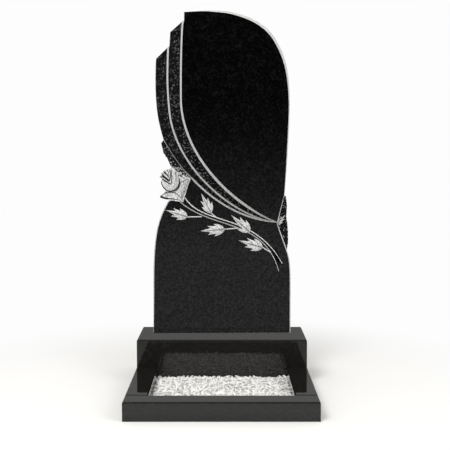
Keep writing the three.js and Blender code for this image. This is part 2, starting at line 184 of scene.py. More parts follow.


# %% [markdown]
# ## Bush-hammered, ground, carved and pitched granite
# Where the polish is broken, the same stone turns grey, because its crystals scatter light. A bush hammer
# leaves a dark surface with single crystals that sparkle, so its colour is drawn crystal by crystal, from a
# Voronoi texture. A grinding wheel leaves a pale, even grey on the bevels. The carver's tools leave a pale
# grey with fine marks on the rose and the leaves, and shade is painted dark into the deep cuts between its
# petals. The rock-pitched waists are broken, not cut, so they keep most of the stone's darkness.

# %% Rough finishes
def rough_granite(name, grain_mm, stops, roughness, bump_mm, crystals=False, cuts=None):
    """Stops colour the grain from dark to pale. A shade colour is painted where the attribute marks shade."""
    material, tree, shader, place = new_material(name)
    grain = add(tree, "ShaderNodeTexNoise", {"Vector": place, "Scale": per_metre(grain_mm), "Detail": 4,
                                             "Roughness": 0.7})
    if crystals:
        each = add(tree, "ShaderNodeTexVoronoi", {"Vector": place, "Scale": per_metre(grain_mm)})
        colour = ramp(tree, each.outputs["Color"], stops)
    else:
        colour = ramp(tree, grain.outputs["Fac"], stops)
    # Painted shade: the attribute's share mixes the shade colour over the carved grey.
    if cuts:
        depth = add(tree, "ShaderNodeAttribute", attribute_name="cut")
        cut = add(tree, "ShaderNodeMix", {0: depth.outputs["Fac"], 6: colour, 7: linear(cuts)},
                  data_type="RGBA")
        colour = cut.outputs[2]
    bump = add(tree, "ShaderNodeBump", {"Height": grain.outputs["Fac"], "Distance": bump_mm * MM,
                                        "Strength": 0.8})
    tree.links.new(colour, shader.inputs["Base Color"])
    tree.links.new(bump.outputs["Normal"], shader.inputs["Normal"])
    shader.inputs["Roughness"].default_value = roughness
    shader.inputs["Specular IOR Level"].default_value = 0.2
    return material


POLISHED, HAMMERED, GROUND, CARVED, PITCHED = range(5)
GRANITES = [
    polished_granite("polished black granite", "#030303", "#060606", "#121212", 0.2),
    rough_granite("bush-hammered black granite", 3.4,
                  [(0.56, "#000000"), (0.74, "#080808"), (0.88, "#5c5c5c")], 0.9, 0.6, crystals=True),
    rough_granite("ground black granite", 2.2, [(0.35, "#858584"), (0.6, "#d4d4d2")], 0.8, 0.2),
    # The carved finish paints shade in near black where the attribute marks it.
    rough_granite("carved black granite with painted shade", 3.0, [(0.37, "#808080"), (0.61, "#eaeae8")], 0.8, 0.6,
                  cuts="#030303"),
    rough_granite("rock-pitched black granite", 5.0,
                  [(0.44, "#000000"), (0.6, "#0c0c0c"), (0.75, "#5a5a5a")], 0.6, 1.5),
]
BLOCK_GRANITE = polished_granite("polished black granite block", "#181716", "#1c1b1a", "#252422", 0.08)
print("granite finishes:", [material.name for material in GRANITES + [BLOCK_GRANITE]])

# %% [markdown]
# ## White marble chippings
# Crushed marble is white with cream and pale grey stones among it. Each chip has one tint, which comes from
# a colour attribute on its faces, and faint clouds keep its broken faces from looking like plaster.

# %% Marble
def marble_chips():
    material, tree, shader, place = new_material("crushed white marble")
    # The attribute holds each chip's own tint, and on the block beneath them painted shade for the gaps.
    tint_and_gap_shade = add(tree, "ShaderNodeAttribute", attribute_name="tint_and_gap_shade")
    veins = add(tree, "ShaderNodeTexNoise", {"Vector": place, "Scale": per_metre(5), "Detail": 5})
    cloud = ramp(tree, veins.outputs["Fac"], [(0.3, "#eceae6"), (0.6, "#ffffff")])
    mix = add(tree, "ShaderNodeMix", {0: 1.0, 6: tint_and_gap_shade.outputs["Color"], 7: cloud}, data_type="RGBA",
              blend_type="MULTIPLY")
    bump = add(tree, "ShaderNodeBump", {"Height": veins.outputs["Fac"], "Distance": 0.3 * MM,
                                        "Strength": 0.3})
    tree.links.new(mix.outputs[2], shader.inputs["Base Color"])
    tree.links.new(bump.outputs["Normal"], shader.inputs["Normal"])
    shader.inputs["Roughness"].default_value = 0.6
    return material


MARBLE = marble_chips()

# %% [markdown]
# ## The slab's outlines
# The slab is one stone, carved in steps: a polished panel in front, two hammered tiers behind it and the
# polished lower body behind those. It could be sculpted, but every edge here is a clean cut, so each level is
# drawn as an outline and extruded from the slab's back. An outline is a list of stretches. Each stretch is a
# line or a Bezier curve through places given as shares of the slab's width and height, and carries the width
# and the depth of the ground bevel along it.

# %% Slab sizes and outlines
slab_low, slab_high = (Vector(corner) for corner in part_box("upright_stone"))
SLAB_WIDTH = slab_high.x - slab_low.x
SLAB_HEIGHT = slab_high.z - slab_low.z
SLAB_FRONT, SLAB_BACK = slab_low.y, slab_high.y
TIER_STEP, BODY_STEP, ROUGH_STEP = 8 * MM, 6 * MM, 8 * MM
INNER_LEVEL = TIER_STEP
OUTER_LEVEL = 2 * TIER_STEP
BODY_LEVEL = OUTER_LEVEL + BODY_STEP
ROUGH_LEVEL = BODY_LEVEL + ROUGH_STEP
ARRIS, EDGE_CHAMFER, SHOULDER_CHAMFER = 1 * MM, 3.5 * MM, 10.5 * MM
BEVEL, WIDE_BEVEL, THIN_BEVEL, TIP_BEVEL = 6.5 * MM, 9 * MM, 2.5 * MM, 4 * MM
CURVE_STEP = 7 * MM
print(f"slab {SLAB_WIDTH:.3f} x {SLAB_HEIGHT:.3f} m, {SLAB_BACK - SLAB_FRONT:.3f} m thick")


def on_slab(place):
    u, v = place
    return Vector((slab_low.x + u * SLAB_WIDTH, slab_low.z + v * SLAB_HEIGHT))


def along(values, t):
    place = t * (len(values) - 1)
    i = min(int(place), len(values) - 2)
    return values[i] + (values[i + 1] - values[i]) * (place - i)


def stretch(places, widths, depths=None):
    """The points of one stretch without its last, as (point, bevel width, bevel depth)."""
    points = [on_slab(place) for place in places]
    if len(points) == 2:
        line = points
    else:
        rough_length = sum((b - a).length for a, b in zip(points, points[1:]))
        line = geometry.interpolate_bezier(*points, max(4, round(rough_length / CURVE_STEP)))
    last = len(line) - 1
    depths = depths or widths
    return [(Vector(line[i]), along(widths, i / last), along(depths, i / last)) for i in range(last)]


def straights(places, width):
    return [point for a, b in zip(places, places[1:]) for point in stretch([a, b], [width, width])]


def inset(outline):
    """Each point of a counter-clockwise outline moved inwards by its own width."""
    moved = []
    for i, (point, width, _) in enumerate(outline):
        before, after = outline[i - 1][0], outline[(i + 1) % len(outline)][0]
        arriving = (point - before).normalized()
        leaving = (after - point).normalized()
        normals = [Vector((-way.y, way.x)) for way in (arriving, leaving)]
        inwards = (normals[0] + normals[1]).normalized()
        moved.append(point + inwards * (width / inwards.dot(normals[0])))
    return moved


# %% [markdown]
# ## One face, extruded from ring to ring
# A circle primitive with as many corners as the outline is added first, and its corners are moved to the
# slab's back. Then its face is extruded once for each ring, and the new corners are moved to that ring. The
# walls between two rings take that ring's finish, so a bevel is ground and the face inside it is polished.

# %% Growing a form
def grow(name, rings, finishes):
    """Rings are equal lists of points. Finishes are for the first face, each wall and the last face."""
    count = len(rings[0])
    alone()
    bpy.ops.mesh.primitive_circle_add(vertices=count, radius=1, fill_type="NGON")
    piece = bpy.context.object
    piece.name = name
    for material in GRANITES:
        piece.data.materials.append(material)
    piece.data.attributes.new("cut", "FLOAT", "POINT")
    bpy.ops.object.mode_set(mode="EDIT")
    for number, ring in enumerate(rings):
        if number > 0:
            bpy.ops.mesh.extrude_region_move()
        mesh = bmesh.from_edit_mesh(piece.data)
        mesh.verts.ensure_lookup_table()
        face = next(face for face in mesh.faces if face.select)
        for vertex, point in zip(face.verts, ring):
            vertex.co = point
        if number > 0:
            for wall in {wall for edge in face.edges for wall in edge.link_faces} - {face}:
                wall.material_index = finishes[number]
        face.material_index = finishes[-1] if number else finishes[0]
        bmesh.update_edit_mesh(piece.data)
    bpy.ops.mesh.select_all(action="SELECT")
    bpy.ops.mesh.normals_make_consistent(inside=False)
    bpy.ops.object.mode_set(mode="OBJECT")
    return piece


def at_depth(points, depth):
    return [Vector((point.x, SLAB_FRONT + depth, point.y)) for point in points]


def tier(name, outline, level, front_finish):
    """A level of the slab from its back to its front, with the outline's bevels round that front."""
    points = [point for point, _, _ in outline]
    even = [(point, ARRIS, ARRIS) for point in points]
    thickness = SLAB_BACK - SLAB_FRONT
    shoulder = [Vector((p.x, SLAB_FRONT + level + depth, p.y)) for p, _, depth in outline]
    rings = [
        at_depth(inset(even), thickness),
        at_depth(points, thickness - ARRIS),
        shoulder,
        at_depth(inset(outline), level),
    ]
    return grow(name, rings, [POLISHED, GROUND, POLISHED, GROUND, front_finish])


# %% [markdown]
# ## The four levels
# The panel's left bevel, the inner tier's and the outer tier's sweep down to one tip at the right. Each
# level also runs on unseen inside the one in front of it, so that the levels join into one stone.

# %% The panel and the tiers
TIP = (0.9012, 0.3492)
UNDER_PANEL = [TIP, (0.881, 0.4279), (0.5011, 0.7552)]
STEP = [TIER_STEP, TIER_STEP]


def panel():
    corner, ledge, foot = (0.2316, 0.995), (0.2315, 0.9709), (0.2179, 0.9664)
    turn, hip, side = (0.2012, 0.7367), (0.9487, 0.4396), (0.983, 0.7174)
    brow, top = (0.8849, 0.9125), (0.4585, 1)
    sweep = [BEVEL, (BEVEL + WIDE_BEVEL) / 2, WIDE_BEVEL, WIDE_BEVEL, TIP_BEVEL]
    side_widths = [EDGE_CHAMFER, BEVEL, WIDE_BEVEL, SHOULDER_CHAMFER]
    outline = [
        *stretch([corner, ledge], [ARRIS, ARRIS]),
        *stretch([ledge, foot], [ARRIS, BEVEL]),
        *stretch([foot, (0.2061, 0.954), (0.199, 0.8059), turn], [BEVEL, BEVEL], STEP),
        *stretch([turn, (0.1941, 0.5587), (0.5782, 0.3958), TIP], sweep, STEP),
        *stretch([TIP, hip], [EDGE_CHAMFER, EDGE_CHAMFER]),
        *stretch([hip, (0.9632, 0.5085), (0.9837, 0.6532), side], [ARRIS, EDGE_CHAMFER, EDGE_CHAMFER]),
        *stretch([side, (0.9818, 0.815), (0.9542, 0.862), brow], side_widths),
        *stretch([brow, (0.8125, 0.9653), (0.6457, 1), top], [SHOULDER_CHAMFER] * 3 + [BEVEL]),
        *stretch([top, (0.3834, 1), (0.3146, 0.9969), corner], [BEVEL, THIN_BEVEL, ARRIS, ARRIS]),
    ]
    return tier("panel", outline, 0, POLISHED)


def inner_tier():
    start, corner, ledge = (0.2646, 0.985), (0.1317, 0.9353), (0.1257, 0.8934)
    foot, turn = (0.11, 0.8883), (0.1159, 0.7023)
    sweep = [BEVEL, BEVEL, BEVEL, TIP_BEVEL]
    outline = [
        *straights([start, corner, ledge], ARRIS),
        *stretch([ledge, foot], [ARRIS, BEVEL]),
        *stretch([foot, (0.1052, 0.8229), (0.099, 0.7798), turn], [BEVEL, BEVEL], STEP),
        *stretch([turn, (0.1457, 0.5202), (0.586, 0.3614), TIP], sweep, STEP),
        *straights([*UNDER_PANEL, start], ARRIS),
    ]
    return tier("inner tier", outline, INNER_LEVEL, HAMMERED)


def outer_tier():
    start, corner, waist = (0.1644, 0.912), (0.0286, 0.8551), (0.0807, 0.6054)
    widths = [THIN_BEVEL] * 3 + [BEVEL] * 7 + [TIP_BEVEL]
    depths = [BODY_STEP + ROUGH_STEP] * 3 + [BODY_STEP] * 8
    outline = [
        *straights([start, corner], ARRIS),
        *stretch([corner, (0.0098, 0.6977), (0.0524, 0.6508), waist], [ARRIS, ARRIS]),
        *stretch([waist, (0.2792, 0.4474), (0.5987, 0.3548), TIP], widths, depths),
        *straights([*UNDER_PANEL, start], ARRIS),
    ]
    return tier("outer tier", outline, OUTER_LEVEL, HAMMERED)


def lower_body():
    under_rose, left, right = (0.1093, 0.4153), (0, 0.1378), (1, 0.1399)
    under_tiers = [(0.8828, 0.4273), (0.501, 0.6074), (0.3004, 0.5275), (0.2399, 0.4825), (0.1994, 0.4373)]
    outline = [
        *stretch([under_rose, (0.0167, 0.3507), (0, 0.2881), left], [EDGE_CHAMFER] * 2),
        *straights([left, (0, 0)], EDGE_CHAMFER),
        *straights([(0, 0), (1, 0)], ARRIS),
        *straights([(1, 0), right], EDGE_CHAMFER),
        *stretch([right, (0.9978, 0.2601), (0.9935, 0.2304), TIP], [EDGE_CHAMFER] * 2),
        *straights([TIP, *under_tiers, under_rose], ARRIS),
    ]
    return tier("lower body", outline, BODY_LEVEL, POLISHED)


levels = [panel(), inner_tier(), outer_tier(), lower_body()]
print("levels:", [(piece.name, len(piece.data.polygons)) for piece in levels])

# %% [markdown]
# ## The rock-pitched waists
# Between the tiers and the lower body the slab's edge is left as the pitching tool broke it. Smooth noise
# would look soft, and stone breaks in facets. So the block is remeshed finely, and its points are pushed by
# how much nearer one cell point is than the next, which scoops each cell out and leaves sharp ridges between
# them. Small carved bits of pale stone stand on it, and they crowd round the rose.

# %% The waists
PITCH_SLOPE, PITCH_FALL = 8 * MM, 12 * MM
WAIST_VOXEL = 1.5 * MM
SCOOP_MM, SCOOP_DEPTH = 13, 2.6 * MM
SCOOP_MEAN, SCOOP_RIM = 0.25, 0.6       # both in cells; the mean keeps the waist's size as it was
GRIT_MM, GRIT_DEPTH = 3, 0.4 * MM
STILL_BACK = 4 * MM                     # this much at the slab's back stays flat
BIT_MM, SMALL_BIT_MM = 5, 2.2
BARE_OF_BITS, BITS_ROUND_ROSE = 0.56, 0.7
ROSE_NEIGHBOURHOOD, ROSE_REACH = (0.17, 0.49), 75 * MM


def rough_waist(name, shown, hidden):
    outline = straights([*shown, *hidden, shown[0]], ARRIS)
    outline = [(p, PITCH_SLOPE if i < len(shown) - 1 else w, d) for i, (p, w, d) in enumerate(outline)]
    points = [point for point, _, _ in outline]
    thickness = SLAB_BACK - SLAB_FRONT
    rings = [at_depth(points, thickness), at_depth(points, ROUGH_LEVEL + PITCH_FALL),
             at_depth(inset(outline), ROUGH_LEVEL)]
    piece = grow(name, rings, [POLISHED, PITCHED, PITCHED, PITCHED])
    remesh = piece.modifiers.new("fine grid", "REMESH")
    remesh.mode = "VOXEL"
    remesh.voxel_size = WAIST_VOXEL
    pick(piece)
    bpy.ops.object.modifier_apply(modifier=remesh.name)
    for vertex in piece.data.vertices:
        if vertex.co.y > SLAB_BACK - STILL_BACK:
            continue
        near, far = noise.voronoi(vertex.co / (SCOOP_MM * MM))[0][:2]
        grit = noise.noise(vertex.co / (GRIT_MM * MM))
        scoop = SCOOP_DEPTH * (SCOOP_MEAN - min(far - near, SCOOP_RIM))
        vertex.co -= vertex.normal * (scoop + GRIT_DEPTH * grit)
    rose_place = on_slab(ROSE_NEIGHBOURHOOD)
    for polygon in piece.data.polygons:
        middle = polygon.center
        near_rose = 1 - smoothstep(0, ROSE_REACH, (Vector((middle.x, middle.z)) - rose_place).length)
        bit = noise.noise(middle / (BIT_MM * MM)) + 0.5 * noise.noise(middle / (SMALL_BIT_MM * MM))
        in_front = middle.y < SLAB_FRONT + ROUGH_LEVEL + PITCH_FALL
        carved = in_front and bit > BARE_OF_BITS - BITS_ROUND_ROSE * near_rose
        rough = CARVED if carved else PITCHED
        polygon.material_index = POLISHED if middle.y > SLAB_BACK - 1 * MM else rough
    return piece


LEFT_SHOWN = [(0.0785, 0.6065), (0.0595, 0.5992), (0.0755, 0.5667), (0.1025, 0.5504), (0.128, 0.525),
              (0.1429, 0.5177)]
LEFT_HIDDEN = [(0.1788, 0.4901), (0.2492, 0.4866), (0.2997, 0.5117), (0.1197, 0.6109)]
RIGHT_SHOWN = [(0.9743, 0.261), (0.9826, 0.29), (0.9793, 0.3338), (0.9689, 0.3665), (0.9735, 0.399),
               (0.9655, 0.4295), (0.9535, 0.4343)]
RIGHT_HIDDEN = [(0.9242, 0.4209), (0.8845, 0.3511), (0.9306, 0.2893)]
waists = [rough_waist("left waist", LEFT_SHOWN, LEFT_HIDDEN),
          rough_waist("right waist", RIGHT_SHOWN, RIGHT_HIDDEN)]
print("waists:", [(piece.name, len(piece.data.polygons)) for piece in waists])

# %% [markdown]
# ## The rose
# The carver leaves a block of stone for the rose and models it from the front, so its surface is a height
# over the slab. That makes a formula the clearest tool: a dome for the bud, with folds stepping down into it,
# a broad petal to the right of it and a drooping lip below. The outline is a closed curve round the flower,
# with three points at the bud's upper left. The rings shrink from it towards the middle while the formula
# lifts each point. Places on the flower are given in bud radii, from the bud's middle.

# %% The rose's shape
BUD_RADIUS = 33 * MM
ROSE_RELIEF, PETAL_RELIEF, FOLD_RELIEF, ROSE_RIM = 20 * MM, 9 * MM, 3 * MM, 5 * MM
CARVED_FLANK = 12 * MM       # behind this, the edge round the flower is pitched and not carved
ROSE_PLACE = (0.1268, 0.4758)
ROSE_OUTLINE = [
    (0.32, 1.55), (-0.1, 1.45), (-0.48, 1.33), (-0.76, 1.24), (-0.72, 1.07), (-1.03, 0.97), (-0.88, 0.79),
    (-1.16, 0.6), (-0.88, 0.36), (-0.98, 0.14), (-0.98, -0.16), (-0.77, -0.61), (-0.5, -0.93),
    (-0.76, -1.25), (-1.12, -1.57), (-1.02, -1.72), (-0.31, -1.92), (1.19, -2.15), (1.44, -2.15),
    (1.6, -1.6), (1.98, -0.32), (2.23, 0.47), (1.36, 0.76), (0.82, 1),
]
ROSE_MIDDLE = Vector((0.4, -0.2))
FOLD_LINES = [-0.36, 0, 0.3]
ROSE_RINGS = 84
OUTLINE_STEPS = 15


def smooth_loop(corners, steps):
    """A Catmull-Rom curve through the corners and back to the first."""
    loop = []
    count = len(corners)
    for i in range(count):
        a, b, c, d = (Vector(corners[(i + k) % count]) for k in (-1, 0, 1, 2))
        handles = b + (c - a) / 6, c - (d - b) / 6
        curve = geometry.interpolate_bezier(b, *handles, c, steps + 1)
        loop += [Vector(point) for point in curve[:-1]]
    return loop


def fold(a, b):
    return max(-0.76 * (a - 0.02) - 0.65 * (b - 0.26), a - 0.02 + 0.04 * (b - 0.26))


def rose_height(a, b):
    from_bud = math.hypot(a, b)
    crown = ROSE_RELIEF - len(FOLD_LINES) * FOLD_RELIEF
    bud = crown * math.sqrt(max(0, 1 - 0.8 * from_bud ** 2))
    folds = FOLD_RELIEF * sum(smoothstep(line - 0.05, line + 0.05, fold(a, b)) for line in FOLD_LINES)
    right_petal = PETAL_RELIEF * (0.45 + 0.55 * smoothstep(1, 2.1, from_bud))
    lip = smoothstep(-0.25, 0.35, -1.05 - b - 0.3 * a)
    petals = max(right_petal, PETAL_RELIEF * 1.35 * lip)
    share = 1 - smoothstep(0.97, 1.08, from_bud)
    return petals + (bud + folds - petals) * share


# %% [markdown]
# The deep cuts draw the flower: they part the folds, run round the bud and undercut the lower petal. Each is
# a line through a few places, with a half width at its start and its end. The same line lowers the surface
# and fills the shade attribute, which the carved finish turns dark, so the shade in each cut is painted.
# Streaks and two petals that lie in shade get painted shade from the attribute too, by less.

# %% The rose's cuts
CUT_DEPTH, STREAK_DEPTH = 4 * MM, 0.35 * MM
STREAK_SHADE, STRIA_SHARE = 0.5, 0.45
BUD_SIDE_SHADE, FAR_PETAL_SHADE = 0.22, 0.25
CUTS = [
    ([(-0.95, 0.1), (-0.82, -0.44), (-0.45, -0.85), (0, -1.02), (0.55, -0.87), (0.91, -0.52)], 0.05, 0.11),
    ([(0.91, -0.52), (1.03, -0.07), (0.97, 0.38)], 0.11, 0.04),
    ([(-1.12, 0.92), (-0.94, 0.79), (-0.5, 0.46), (-0.1, 0.17)], 0.19, 0.12),
    ([(-0.9, 1.25), (-0.71, 1.1), (-0.35, 0.85), (-0.1, 0.5)], 0.15, 0.04),
    ([(-0.02, 0.2), (0.06, 0.75), (-0.02, 1.3)], 0.07, 0.05),
    ([(-1.0, 0.44), (-0.85, 0.33), (-0.4, 0.08), (0.05, -0.2)], 0.11, 0.07),
    ([(0.05, -0.2), (0.17, -0.1), (0.19, 0.6), (0.15, 1.3)], 0.05, 0.04),
    ([(-0.3, 1.3), (-0.18, 1.0), (-0.12, 0.7)], 0.04, 0.02),
    ([(0.62, 0.1), (0.66, 0.6), (0.6, 1.1)], 0.02, 0.03),
    ([(-1.12, -1.54), (-0.9, -1.67), (-0.6, -1.76), (-0.25, -1.79)], 0.22, 0.11),
    ([(-0.25, -1.79), (0.4, -1.83), (1.1, -1.95)], 0.07, 0.03),
    ([(-0.95, -1.48), (-0.62, -1.26), (-0.35, -1.16)], 0.03, 0.05),
    ([(-0.55, -1.1), (0, -1.16), (0.45, -1.1)], 0.03, 0.04),
    ([(0.44, -1.1), (0.85, -1.36), (1.27, -1.84)], 0.045, 0.03),
    ([(1.27, -1.84), (1.5, -1.3), (1.8, -0.3), (2.02, 0.3)], 0.02, 0.03),
    ([(1.2, 0.0), (1.5, 0.12), (1.85, 0.36)], 0.05, 0.03),
    ([(1.14, 0.72), (1.26, 0.62)], 0.12, 0.1),
    ([(1.72, 0.66), (1.82, 0.62)], 0.08, 0.06),
    ([(1.38, 0.5), (1.58, 0.44)], 0.03, 0.04),
    ([(0.9, 0.62), (0.98, 0.9)], 0.04, 0.05),
]
STRIAE = [((1.24, -1.7), (1.08, -0.75)), ((1.26, -1.7), (1.3, -0.3)), ((1.3, -1.7), (1.55, -0.1)),
          ((1.34, -1.6), (1.72, 0.1))]


def line_share(place, points, start_width, end_width):
    """1 in the middle of a line through points, falling to 0 at its half width."""
    best = 0
    for i, (a, b) in enumerate(zip(points, points[1:])):
        start, end = Vector(a), Vector(b)
        way = end - start
        t = min(max((place - start).dot(way) / way.length_squared, 0), 1)
        width = start_width + (end_width - start_width) * (i + t) / (len(points) - 1)
        best = max(best, 1 - smoothstep(0.35, 1.2, (place - start - way * t).length / width))
    return best


def cut_share(a, b):
    place = Vector((a, b))
    deep = max(line_share(place, *cut) for cut in CUTS)
    fine = max(line_share(place, line, 0.02, 0.03) for line in STRIAE)
    return max(deep, STRIA_SHARE * fine)


def rose():
    place = on_slab(ROSE_PLACE)
    edge = smooth_loop(ROSE_OUTLINE, OUTLINE_STEPS)
    thickness = SLAB_BACK - SLAB_FRONT

    def ring(share, depth_at):
        points = [ROSE_MIDDLE.lerp(point, share) for point in edge]
        return [Vector((place.x + p.x * BUD_RADIUS, SLAB_FRONT + depth_at(p.x, p.y),
                        place.y + p.y * BUD_RADIUS)) for p in points]

    def front(a, b):
        streaks = STREAK_DEPTH * noise.noise(Vector((a * 11 + b * 3, b * 2, 0)))
        return BODY_LEVEL - rose_height(a, b) + CUT_DEPTH * cut_share(a, b) + streaks

    flank = [thickness, BODY_LEVEL + ROSE_RIM + CARVED_FLANK, BODY_LEVEL + ROSE_RIM]
    rings = [ring(1, lambda a, b, depth=depth: depth) for depth in flank]
    rings += [ring(0.985 - 0.965 * i / (ROSE_RINGS - 1), front) for i in range(ROSE_RINGS)]
    piece = grow("rose", rings, [POLISHED, PITCHED] + [CARVED] * (len(rings) - 1))
    # Painted shade: the cuts, the streaks, the bud's right side and the far petal are marked dark.
    cut = piece.data.attributes["cut"]
    for vertex in piece.data.vertices:
        a, b = (vertex.co.x - place.x) / BUD_RADIUS, (vertex.co.z - place.y) / BUD_RADIUS
        streak = smoothstep(0.05, 0.45, noise.noise(Vector((a * 13 + b * 3, b * 2.5, 4))))
        on_bud = 1 - smoothstep(0.9, 1.1, math.hypot(a, b))
        bud_side = BUD_SIDE_SHADE * smoothstep(0.35, 0.8, a) * on_bud
        far_petal = FAR_PETAL_SHADE * smoothstep(1.3, 1.9, a - 0.25 * b)
        shade = max(STREAK_SHADE * streak, bud_side, far_petal)
        cut.data[vertex.index].value = max(cut_share(a, b), shade)
    return piece


# %% [markdown]
# ## Leaves, stem and stalks
# A leaf is grown the same way: the first ring is its toothed edge, and the next ones close in on the midrib.
# Each point of the edge belongs to a vein or to the notch between two veins, so the rings between them
# ripple. The stem is a raised strip. Its top keeps the polish and its sides are carved pale, which draws two
# pale lines with black between.

# %% Leaves and stem
LEAF_RELIEF, LEAF_EDGE, KEY = 4.5 * MM, 1.2 * MM, 3 * MM
STEM_RELIEF, STEM_SLOPE, STEM_END = 3 * MM, 3.6 * MM, 6 * MM
PETIOLE_WIDTH, PETIOLE_RELIEF = 4.5 * MM, 2 * MM
LEAF_SIDE = [                # along the leaf, out from the midrib, where its vein meets the rib, how raised
    (0.1, 0.13, 0.05, 0.6), (0.24, 0.21, 0.1, 0.8), (0.44, 0.25, 0.18, 1), (0.37, 0.15, 0.27, 0.3),
    (0.7, 0.18, 0.42, 1), (0.58, 0.085, 0.6, 0.3),
]
LEAF_RINGS = 9
EDGE_STEPS = 8
RIB_WIDTH = 0.012            # a share of the leaf's length
VEIN_CUT = 0.7 * MM


def leaf(name, base_place, tip_place, level):
    base = on_slab(base_place)
    axis = on_slab(tip_place) - base
    across = Vector((-axis.y, axis.x))
    right = [(s, -a, rib, vein, -RIB_WIDTH) for s, a, rib, vein in LEAF_SIDE]
    left = [(s, a, rib, vein, RIB_WIDTH) for s, a, rib, vein in reversed(LEAF_SIDE)]
    corners = [(0, 0, 0, 0.5, 0), *right, (1, 0, 0.8, 1, 0), *left]
    edge = []
    for i, corner in enumerate(corners):
        following = corners[(i + 1) % len(corners)]
        for step in range(EDGE_STEPS):
            share = step / EDGE_STEPS
            vein_line = 1 if step == 0 and corner[3] > 0.5 else 0
            edge.append([a + (b - a) * share for a, b in zip(corner, following)] + [vein_line])

    def ring(share, height_at):
        points = []
        for s, a, rib, vein, side, vein_line in edge:
            place = base + axis * (s + (rib - s) * share) + across * (a + (side - a) * share)
            points.append(Vector((place.x, SLAB_FRONT + level - height_at(vein, vein_line, share), place.y)))
        return points

    def blade(vein, vein_line, share):
        ripple = vein * math.sin(math.pi * (1 - share) ** 0.7) * 0.35
        rise = 0.75 * share ** 0.6 + 0.25 * share ** 4 + ripple * (1 - share)
        return LEAF_EDGE + (LEAF_RELIEF - LEAF_EDGE) * rise - VEIN_CUT * vein_line

    rings = [ring(0, lambda vein, vein_line, share: -KEY), ring(0, lambda vein, vein_line, share: LEAF_EDGE)]
    rings += [ring(i / LEAF_RINGS, blade) for i in range(1, LEAF_RINGS + 1)]
    piece = grow(name, rings, [POLISHED] + [CARVED] * len(rings))
    # Painted shade: the midrib and the vein grooves are marked dark for the carved finish.
    cut = piece.data.attributes["cut"]
    for number in range(len(piece.data.vertices)):
        ring_number, place = divmod(number, len(edge))
        share = (ring_number - 1) / LEAF_RINGS
        on_rib = 0.75 if ring_number == LEAF_RINGS + 1 else 0
        cut.data[number].value = max(on_rib, edge[place][5] * smoothstep(0.05, 0.35, share))
    return piece


def strip(name, outline, relief, finishes):
    """A raised strip with sloping sides. The third value of each point is the share of its height."""
    points = [point for point, _, _ in outline]
    top = [Vector((p.x, SLAB_FRONT + BODY_LEVEL - relief * share, p.y))
           for p, (_, _, share) in zip(inset(outline), outline)]
    rings = [at_depth(points, BODY_LEVEL + KEY), at_depth(points, BODY_LEVEL + 0.1 * relief), top]
    return grow(name, rings, finishes)


def stem():
    slopes = [STEM_SLOPE] * 4 + [STEM_SLOPE * 0.6]
    rise = [1, 1, 1, 1, 0.2]
    start = (0.1997, 0.4374)
    lower = [(0.1956, 0.4134), (0.4276, 0.3245), (0.8092, 0.3631), (0.9114, 0.1937)]
    upper = [(0.94, 0.2213), (0.7306, 0.3885), (0.3593, 0.3384), (0.2343, 0.4302)]
    outline = [
        *stretch([start, lower[0]], [STEM_SLOPE] * 2, [1, 1]),
        *stretch(lower, slopes, rise),
        *stretch([lower[-1], upper[0]], slopes[-1:] * 2, rise[-1:] * 2),
        *stretch(upper, slopes[::-1], rise[::-1]),
        *stretch([upper[-1], start], [STEM_SLOPE] * 2, [1, 1]),
    ]
    piece = strip("stem", outline, STEM_RELIEF, [POLISHED, CARVED, CARVED, POLISHED])
    low, high = (on_slab(corner) for corner in (lower[-1], upper[0]))
    for face in piece.data.polygons:
        if (Vector((face.center.x, face.center.z)) - (low + high) / 2).length < STEM_END:
            face.material_index = POLISHED
    return piece


def petiole(name, from_place, to_place):
    start, end = on_slab(from_place), on_slab(to_place)
    along_it = (end - start).normalized() * PETIOLE_WIDTH / 2
    across = Vector((-along_it.y, along_it.x))
    corners = [start + across - along_it, start - across - along_it,
               end - across + along_it, end + across + along_it]
    outline = [(corner, PETIOLE_WIDTH / 3, 1) for corner in corners]
    return strip(name, outline, PETIOLE_RELIEF, [POLISHED, CARVED, CARVED, CARVED])


LEAVES = [
    ((0.2536, 0.3674), (0.091, 0.3891), (0.3501, 0.3683)),
    ((0.4225, 0.3788), (0.3484, 0.442), (0.4757, 0.36)),
    ((0.7041, 0.3196), (0.5652, 0.3735), None),
    ((0.523, 0.3292), (0.3418, 0.3235), (0.6135, 0.3323)),
    ((0.7991, 0.2713), (0.6187, 0.294), (0.8456, 0.258)),
]
carvings = [rose(), stem()]
for number, (base, tip, stalk) in enumerate(LEAVES, 1):
    carvings.append(leaf(f"leaf {number}", base, tip, BODY_LEVEL))
    if stalk:
        carvings.append(petiole(f"stalk {number}", base, stalk))
carvings.append(leaf("waist leaf", (0.8957, 0.3446), (0.9608, 0.3749), ROUGH_LEVEL - LEAF_RELIEF))
print("carvings:", [(piece.name, len(piece.data.polygons)) for piece in carvings])

# %% [markdown]
# ## One stone
# The levels, the waists and the carvings are one piece of granite, so a Boolean union melts them into one
# closed skin. Each form keeps its finish, because all of them list the same five materials in the same order.

# %% Join the slab
SMOOTH_BELOW = 28       # degrees; sharper edges stay crisp


def unite(whole, form):
    union = whole.modifiers.new("union", "BOOLEAN")
    union.operation = "UNION"
    union.solver = "MANIFOLD"
    union.object = form
    pick(whole)
    bpy.ops.object.modifier_apply(modifier=union.name)
    bpy.data.objects.remove(form)


slab = levels[0]
slab.name = "carved_slab"
for form in levels[1:] + waists + carvings:
    unite(slab, form)
pick(slab)
bpy.ops.object.shade_smooth_by_angle(angle=math.radians(SMOOTH_BELOW))
slab.visible_glossy = False      # the photograph's plinth and kerbs mirror the pale studio, and not the slab
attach(slab, "root")
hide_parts("upright_stone")
print("slab:", len(slab.data.polygons), "faces")

